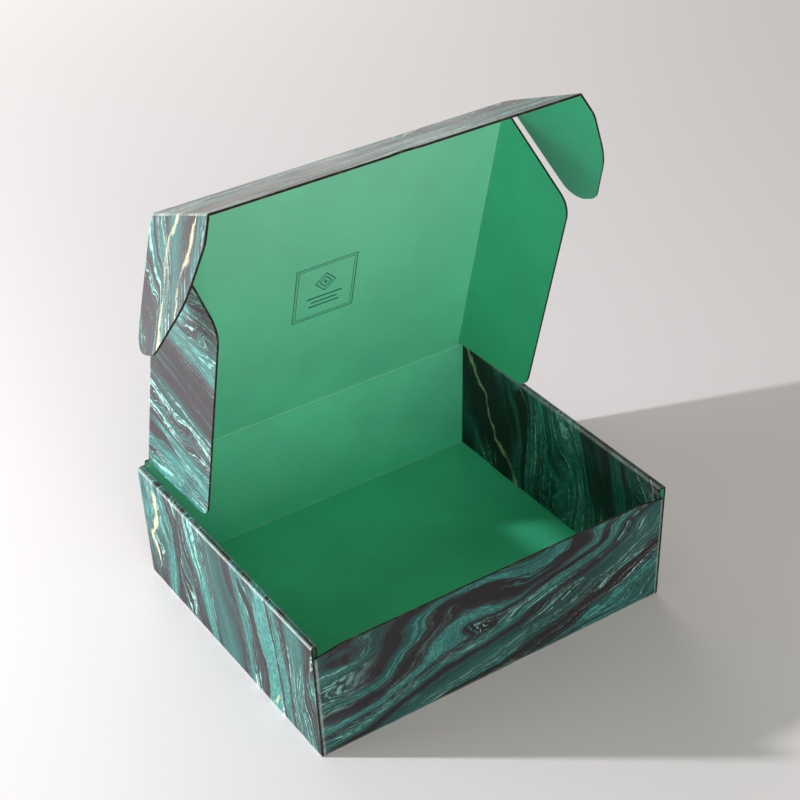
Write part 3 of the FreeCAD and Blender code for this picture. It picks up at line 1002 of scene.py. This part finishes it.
marble = {  # the printed outside; colours are linear, noise is scale, detail and roughness
    "ink": (0.009, 0.006, 0.009),
    "slate": (0.022, 0.029, 0.035),
    "deep": (0.006, 0.034, 0.032),
    "teal": (0.008, 0.056, 0.052),
    "sea": (0.015, 0.122, 0.110),
    "bright": (0.048, 0.345, 0.300),
    "mint": (0.28, 0.62, 0.54),
    "white": (0.66, 0.72, 0.66),
    "cream": (0.58, 0.54, 0.33),
    "worn": (0.55, 0.60, 0.56),
    "roughness": 0.50,
    "smudgeScale": 20.0,
    "specular": 0.42,
    "fibre": 0.7,
    "wearReach": 1.2,
    "wornShare": 0.6,
    "unit": 10.0,
    "slope": 0.17,
    "start": (3.1, 7.4, 0.0),
    "swirls": (  # stretch, scale, push and detail
        ((0.42, 0.9, 1.0), 1.0, 1.15, 1.0),
        ((0.40, 1.0, 1.0), 3.1, 0.30, 1.0),
        ((0.45, 1.0, 1.0), 9.5, 0.060, 2.0),
        ((0.6, 1.0, 1.0), 42.0, 0.012, 2.0),
    ),
    "broadNoise": (2.2, 1.0, 0.5),
    "layerNoise": (9.0, 5.0, 0.70),
    "layerShare": 0.36,
    "poolNoise": ((0.38, 1.0, 1.0), 1.7, 1.0),  # these three with their stretch first
    "poolShare": 0.55,
    "levels": (
        *((0.0, "sea"), (0.24, "teal"), (0.30, "deep"), (0.34, "ink"), (0.465, "ink")),
        *((0.475, "slate"), (0.49, "deep"), (0.51, "teal"), (0.56, "sea"), (0.585, "deep")),
        *((0.60, "teal"), (0.65, "sea"), (0.68, "ink"), (0.74, "ink")),
        *((0.77, "slate"), (0.80, "sea")),
    ),
    "coarseNoise": ((0.7, 1.0, 1.0), 34.0, 5.0, 0.75),
    "patchNoise": ((0.5, 1.0, 1.0), 4.2, 2.0),
    "patchEnds": (0.5, 0.66),
    "stippleNoise": (850.0, 2.0, 0.8),
    "lightEnds": (0.05, 0.16),
    "grains": (  # noise, ends, whether only in patches, tone and share
        ("coarse", (0.46, 0.66), False, "bright", 0.8),
        ("coarse", (0.60, 0.72), True, "mint", 0.7),
        ("coarse", (0.42, 0.32), False, "deep", 0.4),
        ("stipple", (0.56, 0.68), False, "mint", 0.60),
        ("stipple", (0.44, 0.32), False, "slate", 0.60),
    ),
    "lines": (  # scale, seat, widest, narrowest, tone and share
        (3.4, 0.53, 0.024, 0.005, "mint", 0.8),
        (6.1, 0.47, 0.014, 0.003, "mint", 0.85),
        (8.3, 0.55, 0.016, 0.004, "bright", 0.9),
        (11.7, 0.50, 0.012, 0.003, "mint", 0.7),
        (4.7, 0.58, 0.0070, 0.0020, "white", 0.8),
    ),
    "lineNoise": (2.0, 0.55),
    "lineDrift": 0.10,
    "lineWidthEnds": (0.40, 0.65),
    "lineEnds": (1.0, 0.25),
    "lineTornEnds": (0.38, 0.58),
    "linePoolEnds": (0.40, 0.5),
    "sprayNoise": (900.0, 2.0, 0.7),
    "sprayEnds": (0.70, 0.76),
    "sprayPatchEnds": (0.45, 0.6),
    "sprayShare": 0.5,
    "veins": (  # start and end on the flat sheet, in metres, and how wide
        ((0.212, 0.101), (0.300, 0.040), 0.0026),
        ((-0.116, 0.437), (-0.200, 0.428), 0.0036),
        ((-0.116, 0.456), (-0.190, 0.449), 0.0022),
        ((-0.140, 0.096), (-0.208, 0.088), 0.0032),
        ((-0.136, -0.064), (-0.126, -0.054), 0.0024),
    ),
    "veinBends": ((2.6, 2.0, 0.030), (13.0, 2.0, 0.006)),  # scale, detail and push
    "veinFade": 0.004,
    "veinEnds": (0.05, 0.3),
    "swellNoise": (75.0, 1.0),
    "swellEnds": (0.35, 0.65, 0.45, 1.6),
    "bodyEnds": (0.36, 0.54, 0.45, 1.0),
    "dustNoise": (1500.0, 2.0, 0.8),
    "dustPull": 0.20,
    "dustEnds": (0.60, 0.68),
    "creamShare": 0.9,
}


# Where the cream veins run, each swelling along a wandering line
def creamVeins(tree, place, flat):
    m, fade, vein, moved = marble, marble["veinFade"], 0.0, place
    for scale, detail, push in m["veinBends"]:
        bend = scaled(tree, pushNoise(tree, flat, scale, detail), push)
        moved = vectorCalc(tree, "ADD", moved, bend)
    swell = patches(tree, place, m, "swell")
    for start, end, wide in m["veins"]:
        way = Vector((*end, 0)) - Vector((*start, 0))
        unit = way.normalized()
        away = vectorCalc(tree, "SUBTRACT", moved, (*start, 0))
        away = vectorCalc(tree, "MULTIPLY", away, (1.0, 1.0, 0.0))
        square = (-unit.y, unit.x, 0.0)
        along = vectorCalc(tree, "DOT_PRODUCT", away, unit, out="Value")
        aside = vectorCalc(tree, "DOT_PRODUCT", away, square, out="Value")
        aside = calc(tree, "DIVIDE", calc(tree, "ABSOLUTE", aside), swell)
        begun = smoothed(tree, along, -fade, fade)
        ended = smoothed(tree, along, way.length + fade, way.length - fade)
        shown = times(tree, begun, ended)
        shown = times(tree, smoothed(tree, aside, wide, 0.0), shown)
        vein = calc(tree, "MAXIMUM", vein, shown)
    return vein


def marbledPrintMaterial(fibre, wear):
    material, tree = newMaterial("marbledPrint")
    m = marble
    place = attribute(tree, "blankPlace", "Vector")
    gap = attribute(tree, "creaseGap", "Fac")
    flat = vectorCalc(tree, "ADD", scaled(tree, place, m["unit"]), m["start"])
    # Swirls of several sizes, long across the sheet, push the layers about
    spot = flat
    for stretch, scale, push, detail in m["swirls"]:
        swirl = pushNoise(tree, vectorCalc(tree, "MULTIPLY", flat, stretch), scale, detail)
        spot = vectorCalc(tree, "ADD", spot, scaled(tree, swirl, push))
    split = add(tree, "SeparateXYZ", {0: spot})
    run = timesPlus(tree, split.outputs[0], m["slope"], split.outputs[1])
    # Layers of ink, fine ones within broad ones
    broad = lineNoise(tree, run, *m["broadNoise"])
    layers = lineNoise(tree, run, *m["layerNoise"])
    pool = stretchedNoise(tree, spot, *m["poolNoise"])
    level = timesPlus(tree, centred(tree, layers), m["layerShare"], broad)
    level = timesPlus(tree, centred(tree, pool), m["poolShare"], level)
    colour = ramp(tree, level, [(at, m[tone]) for at, tone in m["levels"]])
    # Grains of pigment where the ink is light
    coarse = stretchedNoise(tree, spot, *m["coarseNoise"])
    patch = stretchedNoise(tree, spot, *m["patchNoise"])
    noises = {"coarse": coarse, "stipple": noise(tree, place, *m["stippleNoise"])}
    shine = add(tree, "SeparateColor", {0: colour}).outputs[1]
    light = smoothed(tree, shine, *m["lightEnds"])
    for kind, ends, patchy, tone, share in m["grains"]:
        grains = smoothed(tree, noises[kind], *ends)
        if patchy:
            grains = times(tree, grains, smoothed(tree, patch, *m["patchEnds"]))
        grains = times(tree, grains, light)
        colour = laidOver(tree, colour, grains, share, m[tone])
    # Thin pale lines that follow the layers, broken into froth in places
    for scale, seat, wide, narrow, tone, share in m["lines"]:
        fine = lineNoise(tree, calc(tree, "ADD", run, scale), scale, *m["lineNoise"])
        drift = timesPlus(tree, centred(tree, patch), m["lineDrift"], fine)
        away = calc(tree, "ABSOLUTE", calc(tree, "SUBTRACT", drift, seat))
        width = smoothed(tree, patch, *m["lineWidthEnds"], narrow, wide)
        line = smoothed(tree, calc(tree, "DIVIDE", away, width), *m["lineEnds"])
        torn = times(tree, line, smoothed(tree, coarse, *m["lineTornEnds"]))
        shown = times(tree, torn, smoothed(tree, pool, *m["linePoolEnds"]))
        colour = laidOver(tree, colour, shown, share, m[tone])
    # Stray specks over all of it
    inPatches = smoothed(tree, patch, *m["sprayPatchEnds"])
    spray = times(tree, patches(tree, place, m, "spray"), inPatches)
    colour = laidOver(tree, colour, spray, m["sprayShare"], m["mint"])
    # Speckled cream veins
    vein = creamVeins(tree, place, flat)
    body = times(tree, vein, smoothed(tree, patch, *m["bodyEnds"]))
    dust = noise(tree, place, *m["dustNoise"])
    dust = smoothed(tree, timesPlus(tree, body, m["dustPull"], dust), *m["dustEnds"])
    cream = times(tree, smoothed(tree, vein, *m["veinEnds"]), dust)
    colour = laidOver(tree, colour, cream, m["creamShare"], m["cream"])
    # Paper under the ink: fibres, worn folds
    fibres = useGroup(tree, fibre, {"Place": place, "Fibre": m["fibre"]})
    colour = shaded(tree, colour, fibres["Shade"])
    worn = useGroup(tree, wear, {"Place": place, "Gap": gap, "Reach": m["wearReach"]})
    colour = laidOver(tree, colour, worn["Fleck"], m["wornShare"], m["worn"])
    finishPrint(tree, place, colour, fibres["Height"], m)
    print("marbled print made")
    return material


edge = {  # the cut edge's bare paper, brown darkened near to black as painted shade of its shadowed flutes
    "paper": (0.034, 0.028, 0.023),
    "pale": (0.16, 0.125, 0.09),
    "patchNoise": (160.0, 3.0, 0.6),
    "patchEnds": (0.45, 0.8),
    "fibre": 2.0,
    "roughness": 0.8,
    "specular": 0.3,
}


def cutEdgeMaterial(fibre):
    material, tree = newMaterial("cutEdge")
    place = attribute(tree, "blankPlace", "Vector")
    inputs = {"Place": place, "Fibre": edge["fibre"], "Washboard": 0.0}
    fibres = useGroup(tree, fibre, inputs)
    patch = patches(tree, place, edge, "patch")
    # Brown paper with paler patches; its dark base is partly painted shade of the flute openings
    colour = mixed(tree, patch, (*edge["paper"], 1), (*edge["pale"], 1))
    colour = shaded(tree, colour, fibres["Shade"])
    finishMaterial(tree, colour, edge["roughness"], edge["specular"])
    print("cut edge made")
    return material


stage = {  # the pale floor, the lamps and the room's light
    "floorColour": (0.800, 0.787, 0.785),
    "floorSize": 30.0,
    "floorNoise": (900.0, 2.0),
    "floorSwing": (0.985, 1.015),
    "floorRoughness": 0.75,
    "floorSpecular": 0.2,
    "aim": (0, 0, 0.1),
    "keyPlace": (-0.946, 0.482, 0.40),
    "keyPower": 55.0,
    "keyRadius": 0.02,
    "keyColour": (0.955, 0.948, 1.02),
    "fillPlace": (-0.5, -2.2, 0.75),
    "fillSize": (1.4, 1.4),
    "fillPower": 30.5,
    "sidePlace": (-1.7, 0.85, 0.13),
    "sideSize": (1.2, 0.2),
    "sidePower": 34.0,
    "backPlace": (0.4, 2.1, 0.65),
    "backSize": (1.8, 1.2),
    "backPower": 23.0,
    "panelColour": (1.0, 0.965, 0.925),
    "roomColour": (1.0, 0.95, 0.89),
    "roomStrength": 0.25,
}


def softPanel(name):
    light = bpy.data.lights.new(name + "Panel", "AREA")
    light.shape = "RECTANGLE"
    light.size, light.size_y = stage[name + "Size"]
    light.energy = stage[name + "Power"]
    light.color = stage["panelColour"]
    panel = newObject(name + "Panel", light)
    panel.location = stage[name + "Place"]
    aim = Vector(stage["aim"]) - panel.location
    panel.rotation_euler = aim.to_track_quat("-Z", "Y").to_euler()
    panel.visible_camera = False


def setStage():
    half = stage["floorSize"] / 2
    mesh = bpy.data.meshes.new("floorPlane")
    corners = [(-half, -half, 0), (half, -half, 0), (half, half, 0), (-half, half, 0)]
    mesh.from_pydata(corners, [], [(0, 1, 2, 3)])
    floor = newObject("floorPlane", mesh)
    material, tree = newMaterial("paleFloor")
    place = add(tree, "TexCoord").outputs["Object"]
    grain = noise(tree, place, *stage["floorNoise"])
    tones = ((*(Vector(stage["floorColour"]) * swing), 1) for swing in stage["floorSwing"])
    colour = mixed(tree, grain, *tones)
    finishMaterial(tree, colour, stage["floorRoughness"], stage["floorSpecular"])
    mesh.materials.append(material)
    key = bpy.data.lights.new("keyLamp", "POINT")
    key.energy = stage["keyPower"]
    key.color = stage["keyColour"]
    key.shadow_soft_size = stage["keyRadius"]
    key.use_nodes = True
    tree = key.node_tree
    fall = add(tree, "LightFalloff", {"Strength": 1.0})
    tree.links.new(fall.outputs["Linear"], tree.nodes["Emission"].inputs["Strength"])
    newObject("keyLamp", key).location = stage["keyPlace"]
    for name in ("fill", "side", "back"):
        softPanel(name)
    world = bpy.data.worlds.new("softRoom")
    bpy.context.scene.world = world
    world.use_nodes = True
    sky = world.node_tree.nodes["Background"]
    sky.inputs[0].default_value = (*stage["roomColour"], 1)
    sky.inputs[1].default_value = stage["roomStrength"]
    print("stage lit")


camera = {
    "sensor": 36,
    "place": (-0.484781, -0.765570, 0.747618),
    "forward": (0.446447, 0.691634, -0.567739),
    "up": (0.336516, 0.458128, 0.822725),
    "lens": 81.1347,
    "shiftX": -0.010976,
    "shiftY": 0.031823,
    "nearest": 0.01,
}


def setCamera():
    scene = bpy.context.scene
    lens = bpy.data.cameras.new("photoCamera")
    lens.lens = camera["lens"]
    lens.sensor_width = camera["sensor"]
    lens.shift_x, lens.shift_y = camera["shiftX"], camera["shiftY"]
    lens.clip_start = camera["nearest"]
    view = newObject("photoCamera", lens)
    forward = Vector(camera["forward"]).normalized()
    up = Vector(camera["up"]).normalized()
    right = forward.cross(up).normalized()
    turn = Matrix((right, right.cross(forward), -forward)).transposed()
    view.matrix_world = Matrix.Translation(camera["place"]) @ turn.to_4x4()
    scene.camera = view
    scene.view_settings.view_transform = "Standard"


fibre = paperFibreGroup()
wear = foldWearGroup()
finishes = [
    greenLinerMaterial(fibre, wear),
    marbledPrintMaterial(fibre, wear),
    cutEdgeMaterial(fibre),
]
trayBoard(finishes)
lidBoard(finishes)
tuckBoard(finishes)
earBoard("earLeftBoard", "tuck_ear_left", "ear_left", -1, finishes)
earBoard("earRightBoard", "tuck_ear_right", "ear_right", 1, finishes)
creaseStrips(finishes)
setStage()
setCamera()
